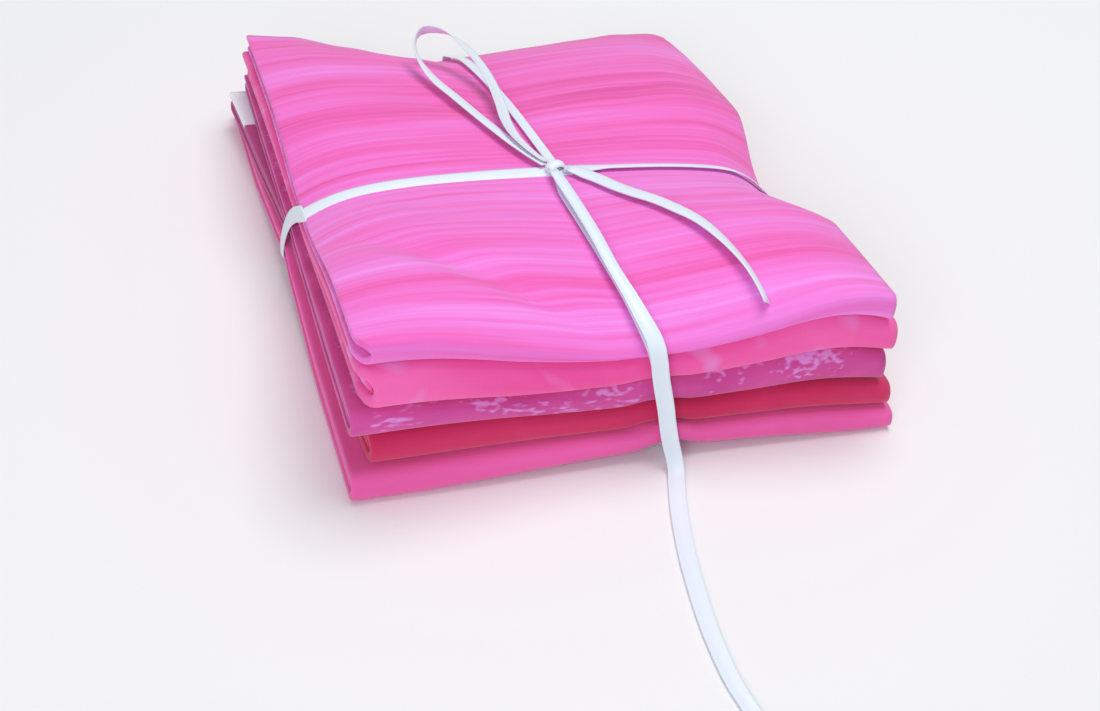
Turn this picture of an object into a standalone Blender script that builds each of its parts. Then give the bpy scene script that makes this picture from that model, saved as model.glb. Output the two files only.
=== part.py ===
import math

import bmesh
import bpy
from mathutils import Vector

# Driving dimensions, in metres
WIDTH = 0.152  # a fat quarter folded in thirds along its 457 mm side
DEPTH = 0.186  # and in thirds along its 559 mm side
STACK = 0.050  # five of them before the ribbon presses them
LAYER_GAP = 0.00045  # between two layers of one fat quarter
FABRIC_GAP = 0.0006  # between two fat quarters
RIBBON_WIDTH = 0.005
RIBBON_THICKNESS = 0.001
CLEARANCE = 0.0003  # kept between pieces that touch
CROSSING_STEP = 0.0004  # the lengthways band lies this much further out, over the other
BAND_Y = -0.012  # where the ribbon crosses the top from left to right
KNOT_SIZE = (0.0058, 0.0048, 0.0032)  # half its width, depth and height

# Height of the pressed stack at its four corners
TOP_CORNERS = {"front_left": 0.053, "front_right": 0.049, "back_left": 0.034, "back_right": 0.030}
SWELL = 0.006  # how far the cloth swells up between the bands
SHOULDER_WIDTH = 0.026  # the right edge rounds over in this width
SHOULDER_DROP = {"front": 0.003, "back": 0.008}

# What the ribbon does at each edge of the stack: it pulls the top down, lifts the bottom
# and draws the side in, over a spread along the edge and a reach in from it
PINCH = {
    "left": {"down": 0.0095, "up": 0.0050, "pull": 0.0005, "spread": 0.055, "reach": 0.014},
    "right": {"down": 0.0125, "up": 0.0030, "pull": 0.0040, "spread": 0.040, "reach": 0.024},
    "front": {"down": 0.0150, "up": 0.0025, "pull": 0.0015, "spread": 0.070, "reach": 0.018},
    "back": {"down": 0.0, "up": 0.0030, "pull": 0.0040, "spread": 0.060, "reach": 0.030},
}
# The back edge sags unevenly: how far down along it, from left to right
BACK_SAG = (
    (-0.076, 0.0005), (-0.057, 0.0020), (-0.037, 0.0060), (-0.016, 0.0100), (-0.005, 0.0125),
    (0.005, 0.0112), (0.027, 0.0098), (0.049, 0.0087), (0.060, 0.0070), (0.071, 0.0040), (0.076, 0.0040),
)
LIFT_REACH = 0.022  # how far in from an edge its bottom is lifted
CHANNEL_DEPTH = 0.0021  # the bands run in shallow channels under the stack
CHANNEL_HALF = 0.0040
CHANNEL_EDGE = 0.010
BAND_FRONT = 0.007  # the lengthways band drifts to the right at the front edge
BAND_BACK = -0.007  # and to the left toward the back
BAND_STEP = -0.0022  # in front of the knot it goes on this much to the left
STEP_REACH = 0.015  # and gets there in this length
BAND_LEAN = 0.0065  # it leans to the right down the front
BAND_SLANT = 0.019  # the band across slants backward down the left side

# Grid lines of a folded layer, counted from the bands, and the steps round its folds
LINES_SIDE = (CHANNEL_HALF, CHANNEL_EDGE, 0.026, 0.050, 0.067)
LINES_FRONT = (CHANNEL_HALF, CHANNEL_EDGE, 0.028, 0.052, 0.070)
LINES_BACK = (CHANNEL_HALF, CHANNEL_EDGE, 0.034, 0.066, 0.090)
RIDGE_STEPS = 3
FOLD_STEPS = 4

# Each fat quarter from the top down: its share of the stack's height, where its left and
# right edges and its front fold stand at their two ends, its back edge and its colour
FABRICS = (
    {"name": "fat_quarter_1", "share": 0.136, "left": (-0.0770, -0.0745), "right": (0.0745, 0.0735),
     "front": (-0.0935, -0.0925), "back": 0.0940, "colour": (0.86, 0.20, 0.55)},
    {"name": "fat_quarter_2", "share": 0.214, "left": (-0.0768, -0.0765), "right": (0.0770, 0.0755),
     "front": (-0.0915, -0.0930), "back": 0.0925, "colour": (0.95, 0.13, 0.45)},
    {"name": "fat_quarter_3", "share": 0.210, "left": (-0.0785, -0.0760), "right": (0.0755, 0.0760),
     "front": (-0.0925, -0.0915), "back": 0.0930, "colour": (0.70, 0.08, 0.35)},
    {"name": "fat_quarter_4", "share": 0.205, "left": (-0.0735, -0.0800), "right": (0.0785, 0.0765),
     "front": (-0.0920, -0.0930), "back": 0.0915, "colour": (0.72, 0.04, 0.16)},
    {"name": "fat_quarter_5", "share": 0.235, "left": (-0.0785, -0.0792), "right": (0.0795, 0.0785),
     "front": (-0.0970, -0.0965), "back": 0.0965, "colour": (0.85, 0.12, 0.38)},
)
# The cuts lie a little lower at the right: levels of their edges at the left and at the right
EDGE_LEVELS = ((0.0, 0.0), (0.235, 0.178), (0.440, 0.366), (0.650, 0.586), (0.864, 0.787), (1.0, 1.0))
RIBBON_COLOUR = (0.90, 0.94, 1.00)

# Routes of the ribbon's loose stretches, from the knot outward
LOOP_ROUTE = (
    (-0.0030, -0.0105, 0.0438), (-0.0047, -0.0057, 0.0431), (-0.0093, 0.0012, 0.0430),
    (-0.0101, 0.0061, 0.0428), (-0.0123, 0.0125, 0.0427), (-0.0155, 0.0213, 0.0426),
    (-0.0207, 0.0290, 0.0425), (-0.0237, 0.0380, 0.0422), (-0.0255, 0.0480, 0.0421),
    (-0.0263, 0.0560, 0.0424), (-0.0263, 0.0631, 0.0430), (-0.0240, 0.0687, 0.0436),
    (-0.0197, 0.0705, 0.0439), (-0.0159, 0.0679, 0.0437), (-0.0137, 0.0633, 0.0432),
    (-0.0107, 0.0585, 0.0424), (-0.0079, 0.0517, 0.0416), (-0.0068, 0.0438, 0.0413),
    (-0.0073, 0.0329, 0.0419), (-0.0078, 0.0226, 0.0429), (-0.0081, 0.0115, 0.0437),
    (-0.0076, 0.0040, 0.0441), (-0.0062, -0.0019, 0.0442), (-0.0031, -0.0060, 0.0439),
)
SHORT_END_ROUTE = (
    (0.0059, -0.0151, 0.0440), (0.0100, -0.0207, 0.0445), (0.0136, -0.0273, 0.0456),
    (0.0173, -0.0334, 0.0469), (0.0212, -0.0388, 0.0481), (0.0252, -0.0459, 0.0494),
    (0.0296, -0.0550, 0.0506), (0.0332, -0.0665, 0.0508), (0.0358, -0.0770, 0.0496),
    (0.0371, -0.0845, 0.0474), (0.0376, -0.0881, 0.0457),
)
LONG_END_ROUTE = (
    (-0.0024, -0.0174, 0.0451), (-0.0021, -0.0306, 0.0465), (-0.0018, -0.0450, 0.0479),
    (-0.0015, -0.0562, 0.0484), (-0.0009, -0.0682, 0.0479), (0.0008, -0.0779, 0.0460),
    (0.0027, -0.0853, 0.0433), (0.0047, -0.0915, 0.0398), (0.0056, -0.0945, 0.0355),
    (0.0064, -0.0955, 0.0290), (0.0080, -0.0964, 0.0210), (0.0095, -0.0973, 0.0130),
    (0.0110, -0.0985, 0.0070), (0.0120, -0.1002, 0.0030), (0.0118, -0.1030, 0.0010),
    (0.0102, -0.1085, 0.0006), (0.0072, -0.1190, 0.0006), (0.0042, -0.1340, 0.0006),
    (0.0022, -0.1490, 0.0006), (0.0011, -0.1620, 0.0006), (0.0010, -0.1760, 0.0006),
    (0.0022, -0.1860, 0.0006), (0.0032, -0.1925, 0.0006),
)
LOOSE_STATIONS = 0.006  # between the stations of a loose stretch
BAND_STATIONS = 0.012  # and at most between those of a band
BEND_STEP = math.radians(35)  # a band turns a corner in steps of about this much
SHARP_BEND = math.radians(12)  # and turns a gentler corner in one
SAME_PLACE = 0.0004  # corners of a band closer than this count as one
TOLERANCE = 0.0001


def ease(t):
    return max(0.0, 1.0 - t * t) ** 2


def clamp(t):
    return min(max(t, 0.0), 1.0)


def blend(start, end, t):
    return start + (end - start) * t


def swell(t):
    return (1.0 - (1.0 - clamp(t)) ** 3) * (1.0 - clamp(t) ** 5)


def half_depth(y):
    # The band across divides the stack into an unequal front and back half
    return DEPTH / 2 - BAND_Y if y > BAND_Y else DEPTH / 2 + BAND_Y


def pinch_at(x, y):
    # For each edge: its pinch, how strong it is beside this point, and the way in from it
    places = (
        ("left", y - BAND_Y, x + WIDTH / 2, (1, 0)),
        ("right", y - BAND_Y, WIDTH / 2 - x, (-1, 0)),
        ("front", x, y + DEPTH / 2, (0, 1)),
        ("back", x, DEPTH / 2 - y, (0, -1)),
    )
    for edge, along, inward, direction in places:
        yield PINCH[edge], ease(along / PINCH[edge]["spread"]), max(inward, 0.0), direction


def back_sag(x):
    # Between two places the sag runs halfway from straight to an s-curve
    for (left, start), (right, end) in zip(BACK_SAG, BACK_SAG[1:]):
        if x <= right:
            break
    t = clamp((x - left) / (right - left))
    return blend(start, end, (t + t * t * (3.0 - 2.0 * t)) / 2)


def top_height(x, y):
    across = clamp(x / WIDTH + 0.5)
    back = clamp(y / DEPTH + 0.5)
    front_height = blend(TOP_CORNERS["front_left"], TOP_CORNERS["front_right"], across)
    back_height = blend(TOP_CORNERS["back_left"], TOP_CORNERS["back_right"], across)
    height = blend(front_height, back_height, back)
    height += SWELL * swell(abs(x) * 2 / WIDTH) * swell(abs(y - BAND_Y) / half_depth(y))
    shoulder = max(0.0, (x - WIDTH / 2 + SHOULDER_WIDTH) / SHOULDER_WIDTH)
    height -= blend(SHOULDER_DROP["front"], SHOULDER_DROP["back"], back) * shoulder ** 2
    for pinch, strength, inward, _ in pinch_at(x, y):
        height -= pinch["down"] * strength * math.exp(-inward / pinch["reach"])
    height -= back_sag(x) * math.exp((y - DEPTH / 2) / PINCH["back"]["reach"])
    return height


def bottom_height(x, y):
    # Flat on the surface, but for the channels of the bands and the lift at the edges
    distance = min(abs(x), abs(y - BAND_Y))
    height = CHANNEL_DEPTH * clamp((CHANNEL_EDGE - distance) / (CHANNEL_EDGE - CHANNEL_HALF))
    for pinch, strength, inward, _ in pinch_at(x, y):
        height += pinch["up"] * strength * ease(inward / LIFT_REACH)
    return height


def lengthways_x(y, level):
    # The lengthways band's place at a level from 0 under the stack to 1 on top of it
    drift = BAND_BACK * max(0.0, (y - BAND_Y) / half_depth(y)) ** 1.1
    drift += BAND_FRONT * max(0.0, -y * 2 / DEPTH) ** 4 + BAND_STEP * clamp((BAND_Y - y) / STEP_REACH)
    return drift + BAND_LEAN * (1.0 - level) * (0.5 - y / DEPTH)


def across_y(x, level):
    return BAND_Y + BAND_SLANT * (1.0 - level ** 2.5) * (0.5 - x / WIDTH)


def pressed_level(x, level):
    # From the levels of the left edge to those of the right edge
    for (low, low_right), (high, high_right) in zip(EDGE_LEVELS, EDGE_LEVELS[1:]):
        if level <= high:
            break
    right = blend(low_right, high_right, (level - low) / (high - low))
    return blend(level, right, clamp(x / WIDTH + 0.5))


def press(point):
    # Where the ribbon's pull moves a point of the unpressed stack
    x, y, z = point
    level = pressed_level(x, z / STACK)
    middle_x = max(0.0, 1.0 - (x * 2 / WIDTH) ** 2)
    middle_y = max(0.0, 1.0 - ((y - BAND_Y) / half_depth(y)) ** 2)
    pressed = Vector((x + lengthways_x(y, level) * middle_x, y, 0.0))
    pressed.y += (across_y(x, level) - BAND_Y) * middle_y
    for pinch, strength, inward, direction in pinch_at(x, y):
        pressed += Vector((*direction, 0.0)) * pinch["pull"] * strength * ease(inward / LIFT_REACH)
    pressed.z = blend(bottom_height(x, y), top_height(x, y), level)
    return pressed


def there_and_back(lines, steps):
    # From the last line of one layer to the fold at the first line, round it, and back
    quarter = math.pi / 2
    there = [(line, -quarter) for line in reversed(lines[1:])]
    fold = [(lines[0], math.pi * step / steps - quarter) for step in range(steps + 1)]
    return there + fold + [(line, quarter) for line in lines[1:]]


def collection(name):
    found = bpy.data.collections.new(name)
    bpy.context.scene.collection.children.link(found)
    return found


def material(name, colour, roughness):
    made = bpy.data.materials.new(name)
    made.use_nodes = True
    shader = made.node_tree.nodes["Principled BSDF"]
    shader.inputs["Base Color"].default_value = (*colour, 1.0)
    shader.inputs["Roughness"].default_value = roughness
    shader.inputs["Metallic"].default_value = 0.0
    return made


def add_object(name, mesh, group, finish):
    made = bpy.data.objects.new(name, mesh)
    group.objects.link(made)
    mesh.materials.append(finish)
    mesh.shade_smooth()
    mesh.set_sharp_from_angle(angle=math.radians(50))
    return made


def grid_mesh(name, rows, columns, place, closed=False):
    # A grid whose points are moved to where place(row, column) puts them
    mesh = bpy.data.meshes.new(name)
    shape = bmesh.new()
    bmesh.ops.create_grid(shape, x_segments=rows, y_segments=columns, size=0.5)
    for vert in shape.verts:
        vert.co = place(round((vert.co.x + 0.5) * rows), round((vert.co.y + 0.5) * columns))
    if closed:
        bmesh.ops.remove_doubles(shape, verts=shape.verts, dist=0.00001)
    shape.to_mesh(mesh)
    shape.free()
    return mesh


def apply_modifiers(made):
    evaluated = made.evaluated_get(bpy.context.evaluated_depsgraph_get())
    shaped = bpy.data.meshes.new_from_object(evaluated)
    made.modifiers.clear()
    made.data = shaped


def face_outward(made):
    shape = bmesh.new()
    shape.from_mesh(made.data)
    bmesh.ops.recalc_face_normals(shape, faces=shape.faces)
    shape.to_mesh(made.data)
    shape.free()


def split_alike(mesh):
    # Every layer's cells are split along the same diagonal, so that layers stay parallel
    shape = bmesh.new()
    shape.from_mesh(mesh)
    for face in list(shape.faces):
        corners = sorted(face.verts, key=lambda vert: vert.co.x + vert.co.y)
        first, last = corners[0], corners[-1]
        if not any(first in edge.verts and last in edge.verts for edge in face.edges):
            bmesh.utils.face_split(face, first, last)
    shape.to_mesh(mesh)
    shape.free()


def thicken(made, thickness, even):
    solid = made.modifiers.new("Cloth", "SOLIDIFY")
    solid.thickness = thickness
    solid.offset = 0.0
    solid.use_even_offset = even
    apply_modifiers(made)


def fat_quarter(fabric, floor, group, finish):
    # Folded in two at its left edge and then in two at the front: four layers
    full = fabric["share"] * STACK - FABRIC_GAP
    sheet = (full - 3 * LAYER_GAP) / 4
    fold_radius = sheet + LAYER_GAP
    ridge_radius = fold_radius / 2
    middle = floor + full / 2
    lines_x = [-WIDTH / 2, *(-line for line in reversed(LINES_SIDE)), *LINES_SIDE, WIDTH / 2]
    lines_y = [-DEPTH / 2, *(BAND_Y - line for line in reversed(LINES_FRONT)),
               *(BAND_Y + line for line in LINES_BACK), DEPTH / 2]
    across = there_and_back(lines_x, RIDGE_STEPS)
    along = there_and_back(lines_y, FOLD_STEPS)

    def place(row, column):
        x, ridge = across[row]
        y, turn = along[column]
        share_x = clamp(x / WIDTH + 0.5)
        share_y = clamp(y / DEPTH + 0.5)
        radius = fold_radius + ridge_radius * math.sin(ridge)
        if x == lines_x[0]:
            x = blend(*fabric["left"], share_y) + ridge_radius + sheet / 2 - ridge_radius * math.cos(ridge)
        elif x == lines_x[-1]:
            x = blend(*fabric["right"], share_y)
        if y == lines_y[0]:
            y = blend(*fabric["front"], share_x) + full / 2 - radius * math.cos(turn)
        elif y == lines_y[-1]:
            y = fabric["back"]
        return Vector((x, y, middle + radius * math.sin(turn)))

    mesh = grid_mesh(fabric["name"], len(across) - 1, len(along) - 1, place)
    split_alike(mesh)
    made = add_object(fabric["name"], mesh, group, finish)
    thicken(made, sheet, even=False)
    unpressed = [vert.co.copy() for vert in made.data.vertices]
    for vert in made.data.vertices:
        vert.co = press(vert.co)
    face_outward(made)
    return [(before, press(before)) for before in unpressed]


def half_hull(points):
    chain = []
    for point in points:
        while len(chain) > 1 and (chain[-1] - chain[-2]).cross(point - chain[-1]) <= 0:
            chain.pop()
        chain.append(point)
    return chain[:-1]


def taut_loop(points, distance):
    # The shortest way round these points in their plane, moved outward by a distance
    ordered = [Vector(point) for point in sorted(points)]
    corners = half_hull(ordered) + half_hull(reversed(ordered))
    corners = [corner for index, corner in enumerate(corners)
               if (corner - corners[index - 1]).length > SAME_PLACE]
    loop = []
    for index, corner in enumerate(corners):
        before = (corner - corners[index - 1]).normalized()
        after = (corners[(index + 1) % len(corners)] - corner).normalized()
        normals = [Vector((way.y, -way.x)) for way in (before, after)]
        turn = normals[0].angle(normals[1])
        steps = max(1, round(turn / BEND_STEP))
        shares = [step / steps for step in range(steps + 1)] if turn > SHARP_BEND else [0.5]
        for share in shares:
            loop.append(corner + normals[0].lerp(normals[1], share).normalized() * distance)
    dense = []
    for index, point in enumerate(loop):
        after = loop[(index + 1) % len(loop)]
        pieces = math.ceil((after - point).length / BAND_STATIONS)
        dense += [point.lerp(after, piece / pieces) for piece in range(pieces)]
    return dense


def level_at(x, y, z):
    low = bottom_height(x, y)
    return clamp((z - low) / (top_height(x, y) - low))


def ribbon(name, route, side_at, group, finish, closed=False):
    # A strip along a route; side_at gives its sideways direction from its way and its share
    stations = route + route[:1] if closed else route
    last = len(stations) - 1

    def place(row, column):
        before = stations[(row - 1) % last if closed else max(row - 1, 0)]
        after = stations[(row + 1) % last if closed else min(row + 1, last)]
        way = (after - before).normalized()
        side = side_at(way, row / last)
        side /= side.cross(way).length
        return stations[row] + side * RIBBON_WIDTH * (column - 0.5)

    made = add_object(name, grid_mesh(name, last, 1, place, closed), group, finish)
    thicken(made, RIBBON_THICKNESS, even=True)
    face_outward(made)
    return made


def along_x(way, share):
    return Vector((1, 0, 0))


def along_y(way, share):
    return Vector((0, 1, 0))


def lying_flat(way, share):
    return way.cross(Vector((0, 0, 1))).normalized()


def bow_side(way, share):
    # The loop lies almost flat on the cloth and stands on its edge where it turns back
    turned = clamp((share - 0.30) / 0.32)
    tilt = math.radians(blend(20.0, 155.0, turned * turned * (3.0 - 2.0 * turned)))
    flat = lying_flat(way, share)
    return flat * math.cos(tilt) + flat.cross(way) * -math.sin(tilt)


def smooth_route(points):
    # Evenly spaced points of a curve through the route's own points
    points = [Vector(point) for point in points]
    fine = []
    for index in range(len(points) - 1):
        before = points[max(index - 1, 0)]
        start, end = points[index], points[index + 1]
        after = points[min(index + 2, len(points) - 1)]
        for step in range(12):
            t = step / 12
            fine.append(0.5 * (2 * start + (end - before) * t
                               + (2 * before - 5 * start + 4 * end - after) * t ** 2
                               + (3 * start - before - 3 * end + after) * t ** 3))
    fine.append(points[-1])
    lengths = [0.0]
    for start, end in zip(fine, fine[1:]):
        lengths.append(lengths[-1] + (end - start).length)
    count = round(lengths[-1] / LOOSE_STATIONS)
    route = []
    for step in range(count + 1):
        target = lengths[-1] * step / count
        index = next((i for i in range(1, len(fine)) if lengths[i] >= target), len(fine) - 1)
        share = (target - lengths[index - 1]) / (lengths[index] - lengths[index - 1])
        route.append(fine[index - 1].lerp(fine[index], share))
    return route


def knot(group, finish):
    mesh = bpy.data.meshes.new("knot")
    shape = bmesh.new()
    bmesh.ops.create_uvsphere(shape, u_segments=12, v_segments=8, radius=1.0)
    centre = Vector((0.0, BAND_Y, top_height(0.0, BAND_Y) + CLEARANCE + KNOT_SIZE[2]))
    for vert in shape.verts:
        vert.co = centre + Vector([size * part for size, part in zip(KNOT_SIZE, vert.co)])
    shape.to_mesh(mesh)
    shape.free()
    return add_object("knot", mesh, group, finish)


def ribbon_tie(pressed, group, cutters, finish):
    # The two bands, the knot and the bow's loop are one length of ribbon, so one solid
    near = CHANNEL_HALF + TOLERANCE
    across_points = [(now.x, now.z) for before, now in pressed if abs(before.y - BAND_Y) < near]
    lengthways_points = [(now.y, now.z) for before, now in pressed if abs(before.x) < near]
    distance = CLEARANCE + RIBBON_THICKNESS / 2
    across_route = [Vector((x, across_y(x, level_at(x, BAND_Y, z)), z))
                    for x, z in taut_loop(across_points, distance)]
    lengthways_route = [Vector((lengthways_x(y, level_at(0.0, y, z)), y, z))
                        for y, z in taut_loop(lengthways_points, distance + CROSSING_STEP)]
    tie = ribbon("ribbon_tie", across_route, along_y, group, finish, closed=True)
    others = (
        ribbon("band_lengthways", lengthways_route, along_x, cutters, finish, closed=True),
        knot(cutters, finish),
        ribbon("bow_loop", smooth_route(LOOP_ROUTE), bow_side, cutters, finish),
    )
    for other in others:
        other.display_type = "WIRE"
        other.hide_render = True
        union = tie.modifiers.new(other.name, "BOOLEAN")
        union.operation = "UNION"
        union.solver = "EXACT"
        union.use_self = True
        union.object = other


def main():
    for old in list(bpy.data.objects):
        bpy.data.objects.remove(old, do_unlink=True)
    group = collection("Fat quarter bundle")
    cutters = collection("Ribbon pieces joined into the tie")
    satin = material("satin_ribbon", RIBBON_COLOUR, 0.35)
    pressed = []
    floor = STACK
    for fabric in FABRICS:
        floor -= fabric["share"] * STACK
        cotton = material(fabric["name"] + "_cotton", fabric["colour"], 0.9)
        pressed += fat_quarter(fabric, floor, group, cotton)
    ribbon_tie(pressed, group, cutters, satin)
    ribbon("ribbon_short_end", smooth_route(SHORT_END_ROUTE), lying_flat, group, satin)
    ribbon("ribbon_long_end", smooth_route(LONG_END_ROUTE), along_x, group, satin)


main()
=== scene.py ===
import math

import bpy
import numpy as np
from mathutils import Matrix, Vector


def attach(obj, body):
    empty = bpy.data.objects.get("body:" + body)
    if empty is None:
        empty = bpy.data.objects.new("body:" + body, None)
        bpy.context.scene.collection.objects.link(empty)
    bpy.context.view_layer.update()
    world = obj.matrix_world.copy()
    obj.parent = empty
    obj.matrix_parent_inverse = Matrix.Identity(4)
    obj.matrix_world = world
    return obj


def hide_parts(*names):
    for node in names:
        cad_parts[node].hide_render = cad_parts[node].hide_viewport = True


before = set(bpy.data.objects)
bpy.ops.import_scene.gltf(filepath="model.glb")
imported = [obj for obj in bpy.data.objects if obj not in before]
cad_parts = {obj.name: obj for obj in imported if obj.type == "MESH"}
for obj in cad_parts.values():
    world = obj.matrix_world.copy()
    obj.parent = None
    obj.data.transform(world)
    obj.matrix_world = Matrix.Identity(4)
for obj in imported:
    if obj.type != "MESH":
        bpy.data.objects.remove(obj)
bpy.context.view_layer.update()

quarterTurn = math.pi / 2


def srgb(hexColour):  # linear colour of an sRGB hex value
    parts = [int(hexColour[i:i + 2], 16) / 255 for i in (1, 3, 5)]
    return tuple(p / 12.92 if p <= 0.04045 else ((p + 0.055) / 1.055) ** 2.4 for p in parts) + (1.0,)


def addNode(tree, kind, values=None, links=None, **settings):  # a node with its settings, values and links
    node = tree.nodes.new(kind)
    for key, value in settings.items():
        setattr(node, key, value)
    for socket, value in (values or {}).items():
        node.inputs[socket].default_value = value
    for socket, output in (links or {}).items():
        tree.links.new(output, node.inputs[socket])
    return node


def colourRamp(tree, factor, stops):  # stops: place and hex colour
    node = addNode(tree, "ShaderNodeValToRGB", links={0: factor})
    elements = node.color_ramp.elements
    while len(elements) < len(stops):
        elements.new(0.5)
    for element, (place, colour) in zip(elements, stops):
        element.position = place
        element.color = srgb(colour)
    return node.outputs["Color"]


# the pressed stack: the same pull of the ribbon as in the solids, drawn finer
print("stage: stack")

stack = {
    "width": 0.152, "depth": 0.186, "height": 0.050,
    "bandY": -0.012,  # where the ribbon crosses the top from left to right
    "corners": (0.053, 0.049, 0.034, 0.030),  # pressed height front left, front right, back left, back right
    "swell": 0.006,
    "shoulderWidth": 0.026, "shoulderDrop": (0.003, 0.008),
    "liftReach": 0.022,
    "channelDepth": 0.0021, "channelHalf": 0.0040, "channelEdge": 0.010,
    "bandFront": 0.007, "bandBack": -0.007, "bandStep": -0.0022, "stepReach": 0.015,
    "bandLean": 0.0065, "bandSlant": 0.019,
    "pinches": {  # how far down, up and in the ribbon pulls each edge, then its spread and its reach inward
        "left": (0.0095, 0.0050, 0.0005, 0.055, 0.014),
        "right": (0.0125, 0.0030, 0.0040, 0.040, 0.024),
        "front": (0.0150, 0.0025, 0.0015, 0.070, 0.018),
        "back": (0.0, 0.0030, 0.0040, 0.060, 0.030),
    },
    "backSag": (  # how far down the back edge hangs, along it from left to right
        (-0.076, 0.0005), (-0.057, 0.0020), (-0.037, 0.0060), (-0.016, 0.0100), (-0.005, 0.0125),
        (0.005, 0.0112), (0.027, 0.0098), (0.049, 0.0087), (0.060, 0.0070), (0.071, 0.0040), (0.076, 0.0040),
    ),
    "levelPlaces": (-0.076, -0.040, 0.0, 0.040, 0.076),
    "levels": (  # each cut's edge: its unpressed level, then its pressed level at these places
        (0.0, 0.0, 0.0, 0.0, 0.0, 0.0),
        (0.235, 0.187, 0.200, 0.188, 0.182, 0.148),
        (0.440, 0.390, 0.412, 0.410, 0.378, 0.326),
        (0.650, 0.562, 0.582, 0.680, 0.618, 0.556),
        (0.864, 0.840, 0.855, 0.938, 0.885, 0.795),
        (1.0, 1.0, 1.0, 1.0, 1.0, 1.0),
    ),
    "creases": (  # soft troughs of the top: from, to, depth and half width
        ((-0.072, -0.036), (-0.012, -0.088), 0.0030, 0.0046),
        ((-0.052, -0.018), (-0.030, -0.040), 0.0007, 0.0045),
        ((-0.042, 0.046), (-0.014, 0.026), 0.0008, 0.0035),
        ((-0.060, 0.024), (-0.026, 0.010), 0.0006, 0.0045),
        ((0.020, 0.012), (0.052, 0.040), 0.0006, 0.0050),
        ((0.030, -0.024), (0.060, -0.060), 0.0007, 0.0055),
    ),
}


def bounded(t):
    return np.clip(t, 0.0, 1.0)


def easeOff(t):
    return np.maximum(0.0, 1.0 - t * t) ** 2


def mixed(start, end, t):
    return start + (end - start) * t


def swellAt(t):
    return (1.0 - (1.0 - bounded(t)) ** 3) * (1.0 - bounded(t) ** 5)


def halfDepth(y):
    return stack["depth"] / 2 - np.where(y > stack["bandY"], stack["bandY"], -stack["bandY"])


def pinchesAt(x, y):
    halfWidth, halfLength, bandY = stack["width"] / 2, stack["depth"] / 2, stack["bandY"]
    places = (("left", y - bandY, x + halfWidth, (1, 0)), ("right", y - bandY, halfWidth - x, (-1, 0)),
              ("front", x, y + halfLength, (0, 1)), ("back", x, halfLength - y, (0, -1)))
    for edge, along, inward, direction in places:
        down, up, pull, spread, reach = stack["pinches"][edge]
        yield down, up, pull, reach, easeOff(along / spread), np.maximum(inward, 0.0), direction


def nearSegment(x, y, start, end):  # distance from a segment, with rounded ends
    dx, dy = end[0] - start[0], end[1] - start[1]
    share = bounded(((x - start[0]) * dx + (y - start[1]) * dy) / (dx * dx + dy * dy))
    return np.hypot(x - start[0] - share * dx, y - start[1] - share * dy), share


def betweenPlaces(x, places):  # index of the place to the left, and a softened share of the way to the next
    places = np.array(places)
    index = np.clip(np.searchsorted(places, x) - 1, 0, len(places) - 2)
    t = bounded((x - places[index]) / (places[index + 1] - places[index]))
    return index, (t + t * t * (3.0 - 2.0 * t)) / 2


def backSag(x):
    places, drops = np.array(stack["backSag"]).T
    index, share = betweenPlaces(x, places)
    return mixed(drops[index], drops[index + 1], share)


def pressedLevel(x, level):
    unpressed, *pressed = np.array(stack["levels"]).T
    found = np.stack([np.interp(level, unpressed, column) for column in pressed])
    index, share = betweenPlaces(x, stack["levelPlaces"])
    every = np.arange(len(x))
    return mixed(found[index, every], found[index + 1, every], share)


def topHeight(x, y):
    frontLeft, frontRight, backLeft, backRight = stack["corners"]
    across = bounded(x / stack["width"] + 0.5)
    back = bounded(y / stack["depth"] + 0.5)
    height = mixed(mixed(frontLeft, frontRight, across), mixed(backLeft, backRight, across), back)
    height += stack["swell"] * swellAt(np.abs(x) * 2 / stack["width"]) * swellAt(
        np.abs(y - stack["bandY"]) / halfDepth(y))
    shoulder = np.maximum(0.0, (x - stack["width"] / 2 + stack["shoulderWidth"]) / stack["shoulderWidth"])
    height -= mixed(*stack["shoulderDrop"], back) * shoulder ** 2
    for down, _, _, reach, strength, inward, _ in pinchesAt(x, y):
        height -= down * strength * np.exp(-inward / reach)
    height -= backSag(x) * np.exp((y - stack["depth"] / 2) / stack["pinches"]["back"][4])
    for start, end, depth, half in stack["creases"]:
        distance, share = nearSegment(x, y, start, end)
        height -= depth * np.exp(-(distance / half) ** 2) * np.sin(math.pi * bounded(share * 0.9 + 0.05))
    return height


def bottomHeight(x, y):
    distance = np.minimum(np.abs(x), np.abs(y - stack["bandY"]))
    height = stack["channelDepth"] * bounded(
        (stack["channelEdge"] - distance) / (stack["channelEdge"] - stack["channelHalf"]))
    for _, up, _, _, strength, inward, _ in pinchesAt(x, y):
        height += up * strength * easeOff(inward / stack["liftReach"])
    return height


def lengthwaysX(y, level):
    drift = stack["bandBack"] * np.maximum(0.0, (y - stack["bandY"]) / halfDepth(y)) ** 1.1
    drift += stack["bandFront"] * np.maximum(0.0, -y * 2 / stack["depth"]) ** 4
    drift += stack["bandStep"] * bounded((stack["bandY"] - y) / stack["stepReach"])
    return drift + stack["bandLean"] * (1.0 - level) * (0.5 - y / stack["depth"])


def acrossY(x, level):
    return stack["bandY"] + stack["bandSlant"] * (1.0 - level ** 2.5) * (0.5 - x / stack["width"])


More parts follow.
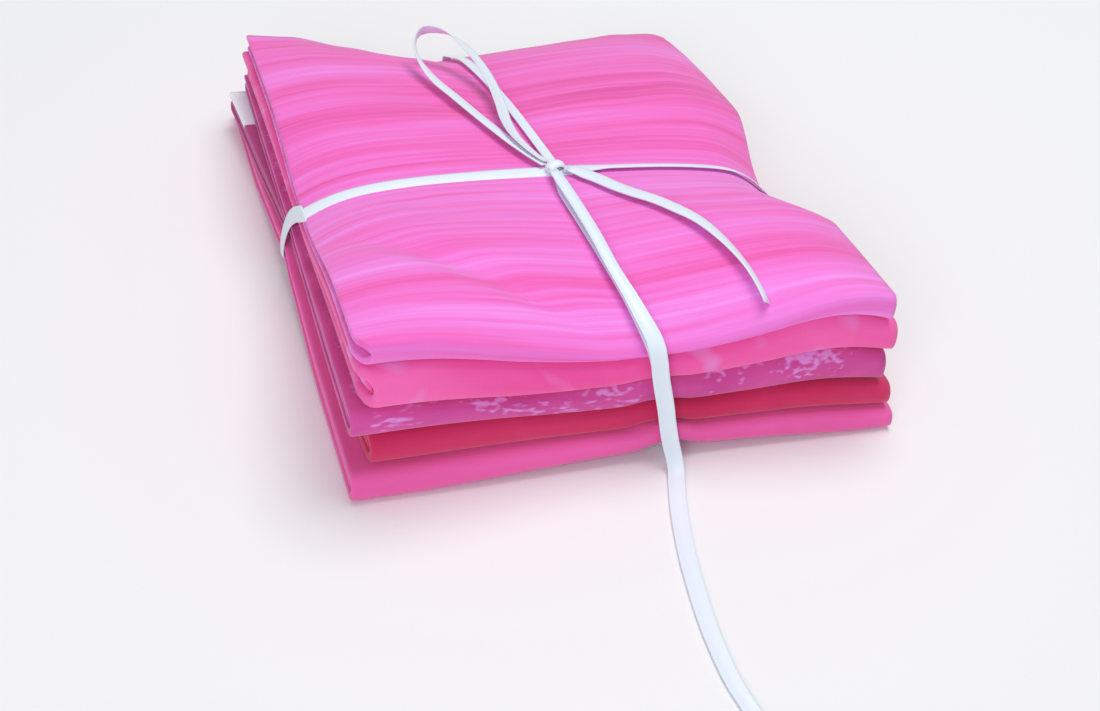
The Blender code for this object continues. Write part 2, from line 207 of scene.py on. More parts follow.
def press(points):  # moves points of the unpressed stack to where the ribbon's pull puts them
    x, y, z = points.T
    level = pressedLevel(x, z / stack["height"])
    middleX = np.maximum(0.0, 1.0 - (x * 2 / stack["width"]) ** 2)
    middleY = np.maximum(0.0, 1.0 - ((y - stack["bandY"]) / halfDepth(y)) ** 2)
    newX = x + lengthwaysX(y, level) * middleX
    newY = y + (acrossY(x, bounded(level)) - stack["bandY"]) * middleY
    for _, _, pull, _, strength, inward, direction in pinchesAt(x, y):
        moved = pull * strength * easeOff(inward / stack["liftReach"])
        newX = newX + direction[0] * moved
        newY = newY + direction[1] * moved
    return np.stack([newX, newY, mixed(bottomHeight(x, y), topHeight(x, y), level)], axis=1)


def meshPoints(piece):
    found = np.empty(len(piece.data.vertices) * 3, dtype=np.float32)
    piece.data.vertices.foreach_get("co", found)
    return found.reshape(-1, 3).astype(float)


def setPoints(piece, points):
    piece.data.vertices.foreach_set("co", points.astype(np.float32).ravel())
    piece.data.update()


def gridPiece(name, columns, rows):  # a grid primitive, with each vertex's column and row
    bpy.ops.object.select_all(action="DESELECT")
    bpy.ops.mesh.primitive_grid_add(x_subdivisions=columns - 1, y_subdivisions=rows - 1, size=1.0)
    piece = bpy.context.active_object
    piece.name = name
    piece.data.name = name
    places = meshPoints(piece)
    column = np.rint((places[:, 0] + 0.5) * (columns - 1)).astype(int)
    row = np.rint((places[:, 1] + 0.5) * (rows - 1)).astype(int)
    return piece, column, row


def setFlatMap(piece, u, v):  # the UV map holds the flat cloth's own measure, in metres
    layer = piece.data.uv_layers.active
    layer.name = "flat"
    corners = np.empty(len(piece.data.loops), dtype=np.int32)
    piece.data.loops.foreach_get("vertex_index", corners)
    layer.data.foreach_set("uv", np.stack([u[corners], v[corners]], axis=1).astype(np.float32).ravel())


def applyModifier(piece, kind, **settings):
    bpy.ops.object.select_all(action="DESELECT")
    bpy.context.view_layer.objects.active = piece
    piece.select_set(True)
    modifier = piece.modifiers.new(kind.title(), kind)
    for key, value in settings.items():
        setattr(modifier, key, value)
    bpy.ops.object.modifier_apply(modifier=modifier.name)


# the fat quarters: each one sheet, folded in thirds twice
print("stage: fat quarters")

cloth = {
    "thickness": 0.00045,
    "fabricGap": 0.0006,
    "columns": 56, "rows": 66,  # lines of one run across and along
    "edgeDensity": 0.6,  # how much closer the lines lie toward the edges
    "ridgeArcs": 8, "hemArcs": 5, "frontArcs": 12, "backArcs": 6,
    "ridgeNose": 0.9, "frontNose": 0.72,  # depth of a fold to its half height
    "noseReach": 0.005,  # a front fold that stands in at the left starts to do so this far behind
    "edgeReach": 0.024,  # how far in a shifted edge is felt
    "flatSize": (0.457, 0.559),
    "layers": 9, "layersAcross": 3,
    "lineGap": 0.0005,  # a line of a run lies at least this far from its folds
    "sideSquare": 0.72, "frontSquare": 0.90,  # a fold's outline: 1 is round, less is squarer
    "middleIn": 0.0022,  # how far in the middle third's left folds lie
    "noseRate": 1.6,
    "tuck": 0.9,  # how far the inmost third runs on toward the front fold, in layers
}

# top down: share of the height, then x of the left and right edges and y of the front fold at their two ends
fabrics = (
    {"node": "fat_quarter_1", "share": 0.136, "left": (-0.0770, -0.0745), "right": (0.0745, 0.0735),
     "front": (-0.0935, -0.0925), "back": 0.0940, "slot": "streaked_cotton", "noseIn": 0.0016},
    {"node": "fat_quarter_2", "share": 0.214, "left": (-0.0768, -0.0765), "right": (0.0770, 0.0755),
     "front": (-0.0950, -0.0930), "back": 0.0925, "slot": "blotched_cotton", "lowerIn": 0.0014,
     "noseIn": 0.0018},
    {"node": "fat_quarter_3", "share": 0.210, "left": (-0.0785, -0.0760), "right": (0.0755, 0.0760),
     "front": (-0.0945, -0.0930), "back": 0.0930, "slot": "motif_cotton", "middleIn": 0.0003,
     "sideSquare": 0.5},
    {"node": "fat_quarter_4", "share": 0.205, "left": (-0.0735, -0.0812), "right": (0.0785, 0.0765),
     "front": (-0.0940, -0.0945), "back": 0.0915, "slot": "cerise_cotton", "middleIn": 0.0003,
     "sideSquare": 0.5},
    {"node": "fat_quarter_5", "share": 0.235, "left": (-0.0785, -0.0792), "right": (0.0795, 0.0785),
     "front": (-0.0970, -0.0970), "back": 0.0965, "slot": "pink_cotton", "middleIn": 0.0003,
     "sideSquare": 0.5, "frontSquare": 0.72},
)


def foldLines(half, count):
    density = cloth["edgeDensity"] * quarterTurn
    return [half * math.sin(density * (2 * i / count - 1)) / math.sin(density) for i in range(count + 1)]


def foldInThirds(half, pitch, reach, count, smallArcs, largeArcs, nose, squareness, tuck):
    # middle run, small fold at the far edge, lower run, large fold at the near edge, upper run
    gap = cloth["lineGap"]
    near = -half + nose * (pitch + reach)
    far = half - pitch / 2 - reach
    lines = foldLines(half, count)
    inner = [near - tuck] + [line for line in lines if near - tuck + gap < line < far - gap]
    lower = [line for line in lines if near + gap < line < far - gap]
    upper = [line for line in lines if near + gap < line < half - gap] + [half]
    stations = [(line, 0.0, 0.0, quarterTurn, 0.0) for line in inner]
    stations += [(far, -pitch / 2, pitch / 2, quarterTurn - math.pi * i / smallArcs, 1.0)
                 for i in range(smallArcs + 1)]
    stations += [(line, 0.0, pitch, -quarterTurn, 0.0) for line in reversed(lower)]
    stations += [(near, 0.0, pitch, -quarterTurn + math.pi * i / largeArcs, -nose)
                 for i in range(largeArcs + 1)]
    stations += [(line, 0.0, pitch, quarterTurn, 0.0) for line in upper]
    centre, height, radius, angle, side = np.array(stations).T
    square = np.where(side < 0, squareness, 1.0)
    cosine = side * np.maximum(np.cos(angle), 0.0) ** square
    sine = np.sign(np.sin(angle)) * np.abs(np.sin(angle)) ** square
    place = centre + radius * cosine
    rise = height + radius * sine
    length = np.concatenate([[0.0], np.cumsum(np.hypot(np.diff(place), np.diff(rise)))])
    run = np.concatenate([np.full(len(inner), 0.0), np.linspace(0.0, -1.0, smallArcs + 1),
                          np.full(len(lower), -1.0), np.linspace(-1.0, 1.0, largeArcs + 1),
                          np.full(len(upper), 1.0)])
    return {"centre": centre, "height": height, "radius": radius, "cosine": cosine, "sine": sine,
            "length": length, "run": run}


def fatQuarter(fabric, floor):
    full = fabric["share"] * stack["height"] - cloth["fabricGap"]
    pitch = (full - cloth["thickness"]) / (cloth["layers"] - 1)
    own = {**cloth, "lowerIn": 0.0, "noseIn": 0.0, **fabric}
    halfWidth, halfLength = stack["width"] / 2, stack["depth"] / 2
    across = foldInThirds(halfWidth, pitch, cloth["thickness"] / 2, cloth["columns"], cloth["hemArcs"],
                          cloth["ridgeArcs"], cloth["ridgeNose"], own["sideSquare"], 0.0)
    along = foldInThirds(halfLength, cloth["layersAcross"] * pitch, pitch + cloth["thickness"] / 2,
                         cloth["rows"], cloth["backArcs"], cloth["frontArcs"], cloth["frontNose"],
                         own["frontSquare"], cloth["tuck"] * pitch)
    piece, column, row = gridPiece(fabric["node"].replace("fat_quarter_", "cloth"),
                                   len(across["centre"]), len(along["centre"]))
    a = {key: values[column] for key, values in across.items()}
    b = {key: values[row] for key, values in along.items()}
    x = a["centre"] + a["radius"] * a["cosine"]
    offset = a["height"] + a["radius"] * a["sine"]
    y = b["centre"] + (b["radius"] + offset) * b["cosine"]
    z = b["height"] + (b["radius"] + offset) * b["sine"]
    shareX = bounded(x / stack["width"] + 0.5)
    shareY = bounded(y / stack["depth"] + 0.5)
    nearNose = bounded((cloth["noseReach"] - y - halfLength) / cloth["noseReach"] * cloth["noseRate"])
    leftShift = mixed(*fabric["left"], shareY) + halfWidth + own["middleIn"] * (1.0 - np.abs(b["run"]))
    leftShift = leftShift + own["lowerIn"] * bounded(-b["run"])
    leftShift = leftShift + own["noseIn"] * nearNose
    rightShift = mixed(*fabric["right"], shareY) - halfWidth
    x = x + leftShift * easeOff(bounded((x + halfWidth) / cloth["edgeReach"]))
    x = x + rightShift * easeOff(bounded((halfWidth - x) / cloth["edgeReach"]))
    frontShift = mixed(*fabric["front"], shareX) + halfLength
    y = y + frontShift * easeOff(bounded((y + halfLength) / cloth["edgeReach"]))
    y = y + (fabric["back"] - halfLength) * easeOff(bounded((halfLength - y) / cloth["edgeReach"]))
    setPoints(piece, np.stack([x, y, floor + full / 2 + z], axis=1))
    setFlatMap(piece, a["length"], b["length"])
    applyModifier(piece, "SOLIDIFY", thickness=cloth["thickness"], offset=0.0, use_even_offset=True)
    unpressed = meshPoints(piece)
    setPoints(piece, press(unpressed))
    bpy.ops.object.shade_smooth()
    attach(piece, "root")
    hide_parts(fabric["node"])
    return piece, unpressed, float(along["length"][-1])


clothPieces = []
clothLengths = []
unpressedPoints = []
floorHeight = stack["height"]
for fabric in fabrics:
    floorHeight -= fabric["share"] * stack["height"]
    made, before, clothLength = fatQuarter(fabric, floorHeight)
    clothPieces.append(made)
    clothLengths.append(clothLength)
    unpressedPoints.append(before)
for index, made in enumerate(clothPieces):
    print("  ", made.name, len(made.data.polygons) * 2, "triangles")


# the ribbon: one length tied round the stack both ways, with a bow loop and two free ends
print("stage: ribbon")

ribbon = {
    "width": 0.005, "thickness": 0.0003,
    "strands": 8,  # strips across its width
    "spacing": 0.0022,  # between its stations
    "clearance": 0.0003,
    "crossing": 0.0004,  # the lengthways band lies this much further out
    "curl": 0.25,  # half of the angle that it curls through across its width
    "curveSteps": 16,
    "weld": 0.00002,
    "cornerGap": 0.0004, "cornerTurn": 0.25,  # least side of a band's loop, and its largest turn in radians
}

acrossBand = {"tilt": -20.0, "narrowed": 0.30,
              "turned": ((0.004, 0.0), (0.016, 1.0), (0.062, 1.0), (0.074, 0.2))}  # how much, by x
lengthwaysBand = {"width": 0.62}

# the loose stretches, from the knot outward: the route is in metres, and the rest is by share of the route
bow = {"tilts": (20.0, 155.0), "turnStart": 0.30, "turnShare": 0.32,
       "widths": ((0.0, 0.5), (0.09, 0.9), (0.9, 0.85), (1.0, 0.5)), "route": (
    (-0.0030, -0.0105, 0.0434), (-0.0058, -0.0044, 0.0431), (-0.0103, 0.0069, 0.0428),
    (-0.0150, 0.0197, 0.0424), (-0.0195, 0.0328, 0.0420), (-0.0229, 0.0426, 0.0417),
    (-0.0249, 0.0506, 0.0422), (-0.0256, 0.0589, 0.0428), (-0.0244, 0.0654, 0.0433),
    (-0.0214, 0.0700, 0.0437), (-0.0172, 0.0697, 0.0439), (-0.0130, 0.0662, 0.0437),
    (-0.0097, 0.0593, 0.0430), (-0.0072, 0.0494, 0.0421), (-0.0063, 0.0382, 0.0417),
    (-0.0071, 0.0254, 0.0425), (-0.0083, 0.0144, 0.0433), (-0.0079, 0.0050, 0.0438),
    (-0.0052, -0.0040, 0.0438), (-0.0025, -0.0095, 0.0438),
)}
shortEnd = {"tilts": ((0.0, 0.0), (0.5, 8.0), (0.85, 38.0), (1.0, 46.0)),
            "widths": ((0.0, 0.6), (0.08, 1.0), (0.6, 1.0), (1.0, 0.8)), "route": (
    (0.0032, -0.0125, 0.0431), (0.0059, -0.0151, 0.0434), (0.0100, -0.0207, 0.0443),
    (0.0136, -0.0273, 0.0455), (0.0173, -0.0334, 0.0469), (0.0212, -0.0388, 0.0481),
    (0.0252, -0.0459, 0.0494), (0.0296, -0.0550, 0.0506), (0.0332, -0.0665, 0.0508),
    (0.0358, -0.0770, 0.0496), (0.0371, -0.0845, 0.0474), (0.0376, -0.0881, 0.0457),
)}
longEnd = {"widths": ((0.0, 0.6), (0.04, 0.84), (0.28, 0.84), (0.38, 1.0), (0.8, 1.0), (1.0, 0.9)),
           "curls": ((0.0, 1.1), (0.26, 1.1), (0.38, 0.35), (1.0, 0.3)), "route": (
    (-0.0020, -0.0145, 0.0440), (-0.0017, -0.0295, 0.0458), (-0.0014, -0.0440, 0.0472),
    (-0.0011, -0.0553, 0.0477), (-0.0006, -0.0675, 0.0472), (0.0011, -0.0772, 0.0455),
    (0.0029, -0.0848, 0.0429), (0.0047, -0.0905, 0.0398), (0.0055, -0.0935, 0.0360),
    (0.0066, -0.0950, 0.0288), (0.0084, -0.0962, 0.0205), (0.0098, -0.0970, 0.0130),
    (0.0110, -0.0982, 0.0072), (0.0120, -0.0998, 0.0030), (0.0118, -0.1025, 0.0010),
    (0.0102, -0.1080, 0.0005), (0.0072, -0.1190, 0.0005), (0.0042, -0.1340, 0.0005),
    (0.0022, -0.1490, 0.0005), (0.0011, -0.1620, 0.0005), (0.0010, -0.1760, 0.0005),
    (0.0022, -0.1860, 0.0005), (0.0032, -0.1925, 0.0005),
)}


def evenRoute(points):  # evenly spaced points of a smooth curve through these
    points = [Vector(point) for point in points]
    last = len(points) - 1
    fine = []
    for index in range(last):
        around = [points[min(max(index + k, 0), last)] for k in (-1, 0, 1, 2)]
        for step in range(ribbon["curveSteps"]):
            t = step / ribbon["curveSteps"]
            fine.append(0.5 * (2 * around[1] + (around[2] - around[0]) * t
                               + (2 * around[0] - 5 * around[1] + 4 * around[2] - around[3]) * t ** 2
                               + (3 * around[1] - around[0] - 3 * around[2] + around[3]) * t ** 3))
    fine.append(points[-1])
    lengths = np.concatenate([[0.0], np.cumsum([(q - p).length for p, q in zip(fine, fine[1:])])])
    targets = np.linspace(0.0, lengths[-1], round(lengths[-1] / ribbon["spacing"]) + 1)
    fine = np.array([tuple(point) for point in fine])
    found = np.stack([np.interp(targets, lengths, fine[:, axis]) for axis in range(3)], axis=1)
    return [Vector(point) for point in found]


def ribbonStrip(name, route, sideAt, closed=False, widthAt=None, cupAt=None, tiltAt=None):
    # a strip along a route: its sideways direction comes from its way and share, its width from its share and
    # place, its curl from its share, and a turn up on one edge from its place
    stations = route + route[:1] if closed else route
    last = len(stations) - 1
    strands = ribbon["strands"]
    piece, column, row = gridPiece(name, strands + 1, last + 1)
    lines = np.empty((last + 1, strands + 1, 3))
    lengths = [0.0]
    for index in range(last + 1):
        before = stations[(index - 1) % last if closed else max(index - 1, 0)]
        after = stations[(index + 1) % last if closed else min(index + 1, last)]
        way = (after - before).normalized()
        share = index / last
        side = Vector(sideAt(way, share))
        side /= side.cross(way).length
        up = side.cross(way).normalized()
        half = ribbon["width"] / 2 * (widthAt(share, stations[index]) if widthAt else 1.0)
        cup = cupAt(share) if cupAt else ribbon["curl"]
        tilt = tiltAt(stations[index]) if tiltAt else 0.0
        centre = stations[index] + up * half * abs(math.sin(tilt))
        side, up = (side * math.cos(tilt) + up * math.sin(tilt),
                    up * math.cos(tilt) - side * math.sin(tilt))
        for strand in range(strands + 1):
            part = 2 * strand / strands - 1
            outward, drop = math.sin(cup * part) / cup, (1 - math.cos(cup * part)) / cup
            lines[index, strand] = centre + side * half * outward - up * half * drop
        if index:
            lengths.append(lengths[-1] + (stations[index] - stations[index - 1]).length)
    setPoints(piece, lines[row, column])
    setFlatMap(piece, column / strands * ribbon["width"], np.array(lengths)[row])
    if closed:
        applyModifier(piece, "WELD", merge_threshold=ribbon["weld"])
    applyModifier(piece, "SOLIDIFY", thickness=ribbon["thickness"], offset=0.0, use_even_offset=True)
    bpy.ops.object.shade_smooth()
    return piece


def halfHull(points):
    chain = []
    for point in points:
        while len(chain) > 1 and (chain[-1] - chain[-2]).cross(point - chain[-1]) <= 0:
            chain.pop()
        chain.append(point)
    return chain[:-1]


def tautLoop(points, distance):  # the shortest way round these points of a plane, a little outside them
    order = np.lexsort((points[:, 1], points[:, 0]))
    ordered = [Vector(point) for point in points[order]]
    corners = halfHull(ordered) + halfHull(list(reversed(ordered)))
    corners = [corner for i, corner in enumerate(corners)
               if (corner - corners[i - 1]).length > ribbon["cornerGap"]]
    loop = []
    for i, corner in enumerate(corners):
        before = (corner - corners[i - 1]).normalized()
        after = (corners[(i + 1) % len(corners)] - corner).normalized()
        normals = [Vector((way.y, -way.x)) for way in (before, after)]
        steps = max(1, round(normals[0].angle(normals[1]) / ribbon["cornerTurn"]))
        shares = [step / steps for step in range(steps + 1)] if steps > 1 else [0.5]
        loop += [corner + normals[0].lerp(normals[1], share).normalized() * distance for share in shares]
    return loop


def denseLoop(loop):
    dense = []
    for i, point in enumerate(loop):
        after = loop[(i + 1) % len(loop)]
        pieces = max(1, math.ceil((after - point).length / ribbon["spacing"]))
        dense += [point.lerp(after, k / pieces) for k in range(pieces)]
    return dense


def levelAt(x, y, z):
    low = bottomHeight(x, y)
    return float(bounded((z - low) / (topHeight(x, y) - low)))


def bowSide(way, share):  # the loop turns over on its way round
    turned = float(bounded((share - bow["turnStart"]) / bow["turnShare"]))
    tilt = math.radians(mixed(*bow["tilts"], turned * turned * (3.0 - 2.0 * turned)))
    flat = lyingFlat(way)
    return flat * math.cos(tilt) - flat.cross(way) * math.sin(tilt)


def lyingFlat(way):
    return way.cross(Vector((0, 0, 1))).normalized()


def between(share, stops):  # value at a share, between the stops of a short table
    places, values = np.array(stops).T
    return float(np.interp(share, places, values))


def shortSide(way, share):  # the short end turns up on its left edge toward its tip
    flat, tilt = lyingFlat(way), math.radians(between(share, shortEnd["tilts"]))
    return flat * math.cos(tilt) + flat.cross(way) * math.sin(tilt)


def turnedUp(place):  # how much the band across is turned up and drawn narrow, right of the knot
    onTop = place.z > stack["height"] / 2
    return between(place.x, acrossBand["turned"]) if onTop else 0.0


before = np.concatenate(unpressedPoints)
now = np.concatenate([meshPoints(made) for made in clothPieces])
nearAcross = np.abs(before[:, 1] - stack["bandY"]) < stack["channelHalf"]
nearLengthways = np.abs(before[:, 0]) < stack["channelHalf"]
outward = ribbon["clearance"] + ribbon["thickness"] / 2
acrossRoute = [Vector((x, float(acrossY(x, levelAt(x, stack["bandY"], z))), z)) for x, z in
               denseLoop(tautLoop(now[nearAcross][:, (0, 2)], outward))]
lengthwaysRoute = [Vector((float(lengthwaysX(y, levelAt(0.0, y, z))), y, z)) for y, z in
                   denseLoop(tautLoop(now[nearLengthways][:, (1, 2)], outward + ribbon["crossing"]))]
tieParts = [
    ribbonStrip("ribbonTie", acrossRoute, lambda way, share: (0, 1, 0), closed=True,
                widthAt=lambda share, place: 1.0 - acrossBand["narrowed"] * turnedUp(place),
                tiltAt=lambda place: math.radians(acrossBand["tilt"]) * turnedUp(place)),
    ribbonStrip("bandLengthways", lengthwaysRoute, lambda way, share: (1, 0, 0), closed=True,
                widthAt=lambda share, place: lengthwaysBand["width"]),
    ribbonStrip("bowLoop", evenRoute(bow["route"]), bowSide,
                widthAt=lambda share, place: between(share, bow["widths"])),
]

# one turn of ribbon round the crossing
knot = {"half": (0.0029, 0.0019), "lift": 0.0019, "aside": -0.0004, "lean": 0.30, "stations": 28,
        "width": 0.85, "curl": 0.9}
knotCentre = Vector((knot["aside"], stack["bandY"] + knot["aside"],
                     float(topHeight(0.0, stack["bandY"])) + knot["lift"]))
knotAxis = Vector((knot["lean"], -1.0, 0.0)).normalized()
knotAcross = knotAxis.cross(Vector((0, 0, 1)))
knotAngles = [math.tau * step / knot["stations"] for step in range(knot["stations"])]
knotRoute = [knotCentre + knotAcross * knot["half"][0] * math.cos(angle)
             + Vector((0, 0, knot["half"][1] * math.sin(angle))) for angle in knotAngles]
tieParts.append(ribbonStrip("knotTurn", knotRoute, lambda way, share: knotAxis, closed=True,
                            widthAt=lambda share, place: knot["width"], cupAt=lambda share: knot["curl"]))

bpy.ops.object.select_all(action="DESELECT")
for part in tieParts:
    part.select_set(True)
bpy.context.view_layer.objects.active = tieParts[0]
bpy.ops.object.join()
tiePiece = bpy.context.active_object
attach(tiePiece, "root")
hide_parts("ribbon_tie")

shortRoute = evenRoute(shortEnd["route"])
shortPiece = ribbonStrip("ribbonShortEnd", shortRoute, shortSide,
                         widthAt=lambda share, place: between(share, shortEnd["widths"]))
longRoute = evenRoute(longEnd["route"])
longPiece = ribbonStrip("ribbonLongEnd", longRoute, lambda way, share: (1, 0, 0),
                        widthAt=lambda share, place: between(share, longEnd["widths"]),
                        cupAt=lambda share: between(share, longEnd["curls"]))
for endPiece, node, route in ((shortPiece, "ribbon_short_end", shortRoute),
                              (longPiece, "ribbon_long_end", longRoute)):
    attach(endPiece, "root")
    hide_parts(node)


print("stage: materials")


def quiltingCotton(name, printColour):
    # plain-woven quilting cotton, dyed and unglazed: matt, with a faint sheen at its edges from fibre ends
    made = bpy.data.materials.new(name)
    made.use_nodes = True
    tree = made.node_tree
    shader = tree.nodes["Principled BSDF"]
    shader.inputs["Roughness"].default_value = 0.88
    shader.inputs["IOR"].default_value = 1.5
    shader.inputs["Specular IOR Level"].default_value = 0.25
    shader.inputs["Sheen Weight"].default_value = 0.25
    shader.inputs["Sheen Roughness"].default_value = 0.5
    flat = addNode(tree, "ShaderNodeUVMap", uv_map="flat").outputs["UV"]
    tree.links.new(printColour(tree, flat), shader.inputs["Base Color"])
    threadWidth = 0.0008  # real threads are 0.4 mm apart and would not show
    wave = {"Scale": math.tau / 20 / threadWidth, "Distortion": 0.6}  # a wave repeats 20 / tau times
    warp, weft = (addNode(tree, "ShaderNodeTexWave", wave, {"Vector": flat},
                          bands_direction=direction).outputs["Fac"] for direction in ("X", "Y"))
    weave = addNode(tree, "ShaderNodeMath", links={0: warp, 1: weft}, operation="MULTIPLY").outputs[0]
    bump = addNode(tree, "ShaderNodeBump", {"Strength": 0.2, "Distance": 0.0001}, {"Height": weave})
    tree.links.new(bump.outputs["Normal"], shader.inputs["Normal"])
    return made


def stretched(tree, flat, across, along, turn=0.0, shift=(0.0, 0.0)):  # the flat map at a pattern's size
    values = {"Scale": (1 / across, 1 / along, 1.0), "Rotation": (0.0, 0.0, turn), "Location": (*shift, 0.0)}
    return addNode(tree, "ShaderNodeMapping", values, {"Vector": flat}).outputs["Vector"]


def noiseAt(tree, vector, **values):
    values = {"Scale": 1.0, "Detail": 3.0, **values}
    return addNode(tree, "ShaderNodeTexNoise", values, {"Vector": vector}).outputs["Fac"]


def ranged(tree, value, low, high, most=1.0):  # a pattern's part between two values, from 0 to its most
    return addNode(tree, "ShaderNodeMapRange", {"From Min": low, "From Max": high, "To Max": most},
                   {"Value": value}).outputs[0]


def acrossPiece(tree):  # x in the stack
    place = addNode(tree, "ShaderNodeTexCoord").outputs["Object"]
    return addNode(tree, "ShaderNodeSeparateXYZ", links={0: place}).outputs["X"]


def weighted(tree, first, second, share):  # two patterns mixed by a fixed share
    return addNode(tree, "ShaderNodeMix", {0: share}, {2: first, 3: second}).outputs[0]


def blended(tree, under, over, share):  # two colours mixed by a pattern
    return addNode(tree, "ShaderNodeMix", {7: srgb(over)}, {0: share, 6: under}, data_type="RGBA").outputs[2]


def streaks(tree, flat):  # hand-brushed dye: long streaks from left to right, lighter toward the front
    broad = noiseAt(tree, stretched(tree, flat, 0.30, 0.016), Detail=2.0)
    fine = noiseAt(tree, stretched(tree, flat, 0.12, 0.0024, shift=(3.0, 7.0)), Detail=4.0, Roughness=0.6)
    both = weighted(tree, broad, fine, 0.45)
    along = addNode(tree, "ShaderNodeSeparateXYZ", links={0: flat}).outputs["Y"]
    values = {"From Min": 0.39, "From Max": 0.50, "To Min": 0.055, "To Max": -0.015}
    light = addNode(tree, "ShaderNodeMapRange", values, {"Value": along}, interpolation_type="SMOOTHSTEP")
    level = addNode(tree, "ShaderNodeMath", links={0: both, 1: light.outputs[0]}, operation="ADD").outputs[0]
    return colourRamp(tree, level, ((0.34, "#E452A6"), (0.41, "#F060B4"), (0.47, "#F66CC4"),
                                    (0.53, "#F678D2"), (0.60, "#F884E0"), (0.67, "#F996EC")))


def blotches(tree, flat):  # a pink ground with a few pale, soft-edged blotches of about a centimetre
    cloud = noiseAt(tree, stretched(tree, flat, 0.05, 0.02))
    ground = colourRamp(tree, cloud, ((0.35, "#F852A4"), (0.65, "#FF6CBA")))
    spots = noiseAt(tree, stretched(tree, flat, 0.016, 0.011, shift=(1.0, 4.0)), Detail=1.0)
    return blended(tree, ground, "#EBA6EC", ranged(tree, spots, 0.58, 0.74, most=0.75))


def motifs(tree, flat):  # clusters of small pale dashes on magenta, with the left folds plain
    cloud = noiseAt(tree, stretched(tree, flat, 0.03, 0.012))
    ground = colourRamp(tree, cloud, ((0.35, "#CE4594"), (0.65, "#DE56A6")))
    dashes = noiseAt(tree, stretched(tree, flat, 0.0032, 0.0012, turn=0.3), Detail=1.0)
    clusters = noiseAt(tree, stretched(tree, flat, 0.022, 0.012, shift=(5.0, 2.0)), Detail=1.0)
    both = weighted(tree, dashes, clusters, 0.5)
    share = ranged(tree, both, 0.54, 0.62, most=0.75)
    inside = ranged(tree, acrossPiece(tree), -0.0765, -0.0740)
    shown = addNode(tree, "ShaderNodeMath", links={0: share, 1: inside}, operation="MULTIPLY").outputs[0]
    return blended(tree, ground, "#E9A2EE", shown)


def ceriseDye(selvedge):  # cerise, magenta toward the left fold, and unprinted beyond the selvedge line
    def printColour(tree, flat):
        cloud = noiseAt(tree, stretched(tree, flat, 0.04, 0.02))
        ground = colourRamp(tree, cloud, ((0.3, "#CC2658"), (0.7, "#DC3870")))
        side = ranged(tree, acrossPiece(tree), -0.0735, -0.0765)
        along = addNode(tree, "ShaderNodeSeparateXYZ", links={0: flat}).outputs["Y"]
        sided = blended(tree, ground, "#C24A8C", side)
        return blended(tree, sided, "#F4FAFF", ranged(tree, along, selvedge, selvedge + 0.0004))
    return printColour


def plainDye(*colours):
    def printColour(tree, flat):
        cloud = noiseAt(tree, stretched(tree, flat, 0.04, 0.02))
        return colourRamp(tree, cloud, ((0.3, colours[0]), (0.7, colours[1])))
    return printColour


selvedgeWidth = 0.033
finishes = (
    quiltingCotton("streaked batik cotton", streaks),
    quiltingCotton("blotched cotton", blotches),
    quiltingCotton("motif cotton", motifs),
    quiltingCotton("cerise cotton", ceriseDye(clothLengths[3] - selvedgeWidth)),
    quiltingCotton("pink cotton", plainDye("#EE5EA8", "#FA68B6")),
)
for made, finish in zip(clothPieces, finishes):
    made.data.materials.clear()
    made.data.materials.append(finish)


def satinRibbon():
    # woven polyester satin: long floats along its length, so a soft, stretched shine
    made = bpy.data.materials.new("white satin ribbon")
    made.use_nodes = True
    shader = made.node_tree.nodes["Principled BSDF"]
    shader.inputs["Base Color"].default_value = srgb("#E9F3FB")
    shader.inputs["Roughness"].default_value = 0.42
    shader.inputs["Anisotropic"].default_value = 0.4
    shader.inputs["Sheen Weight"].default_value = 0.1
    return made


satin = satinRibbon()
for made in (tiePiece, shortPiece, longPiece):
    made.data.materials.clear()
    made.data.materials.append(satin)
    for face in made.data.polygons:
        face.material_index = 0


# floor, light and camera
print("stage: set")

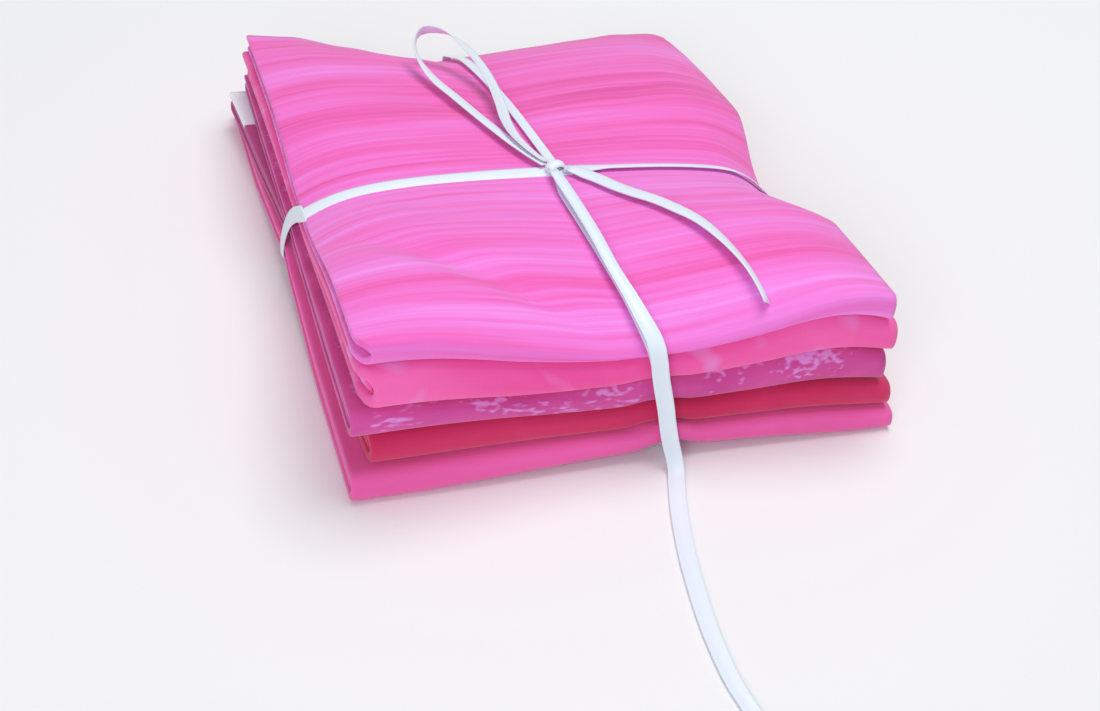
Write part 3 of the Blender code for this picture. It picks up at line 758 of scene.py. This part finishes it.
bpy.ops.object.select_all(action="DESELECT")
bpy.ops.mesh.primitive_plane_add(size=6.0)
floorPiece = bpy.context.active_object
floorPiece.name = "floor"
floorFinish = bpy.data.materials.new("matt white board")
floorFinish.use_nodes = True
floorFinish.node_tree.nodes["Principled BSDF"].inputs["Base Color"].default_value = srgb("#F4F4F4")
floorFinish.node_tree.nodes["Principled BSDF"].inputs["Roughness"].default_value = 0.9
floorPiece.data.materials.append(floorFinish)

lights = (  # name, place, aim, size, power and colour
    ("key", (0.20, 0.15, 1.15), (0.0, 0.0, 0.0), 0.8, 8.0, "#FFFFFF"),
    ("front fill", (-0.60, -1.05, 0.70), (0.0, 0.0, 0.02), 0.8, 6.2, "#F6F6FF"),
)
for name, place, aim, size, power, colour in lights:
    bpy.ops.object.light_add(type="AREA", location=place)
    lamp = bpy.context.active_object
    lamp.name = name
    lamp.data.shape = "DISK"
    lamp.data.size = size
    lamp.data.energy = power
    lamp.data.color = srgb(colour)[:3]
    lamp.rotation_euler = (Vector(aim) - Vector(place)).to_track_quat("-Z", "Y").to_euler()
world = bpy.data.worlds.new("studio")
bpy.context.scene.world = world
world.use_nodes = True
world.node_tree.nodes["Background"].inputs["Color"].default_value = srgb("#F8FAFF")
world.node_tree.nodes["Background"].inputs["Strength"].default_value = 0.38
bpy.context.scene.view_settings.view_transform = "Standard"

view = {"place": (-0.1560, -0.4544, 0.3577), "azimuth": -19.9, "elevation": 39.5, "roll": 5.8,
        "focal": 1898.0, "imageWidth": 1100}  # both in pixels of the photo
azimuth, elevation, roll = (math.radians(view[key]) for key in ("azimuth", "elevation", "roll"))
back = Vector((math.sin(azimuth) * math.cos(elevation), -math.cos(azimuth) * math.cos(elevation),
               math.sin(elevation)))
right = (-back).cross(Vector((0, 0, 1))).normalized()
up = right.cross(-back)
rightRolled = right * math.cos(roll) + up * math.sin(roll)
upRolled = up * math.cos(roll) - right * math.sin(roll)
camera = bpy.data.cameras.new("camera")
cameraPiece = bpy.data.objects.new("camera", camera)
bpy.context.scene.collection.objects.link(cameraPiece)
camera.sensor_width = 36.0
camera.lens = view["focal"] * camera.sensor_width / view["imageWidth"]
camera.clip_start, camera.clip_end = 0.01, 20.0
turned = [[*row] for row in zip(rightRolled, upRolled, back)]
cameraPiece.matrix_world = Matrix([[*row, place] for row, place in zip(turned, view["place"])]
                                  + [[0, 0, 0, 1]])
bpy.context.scene.camera = cameraPiece

print("stage: finish")
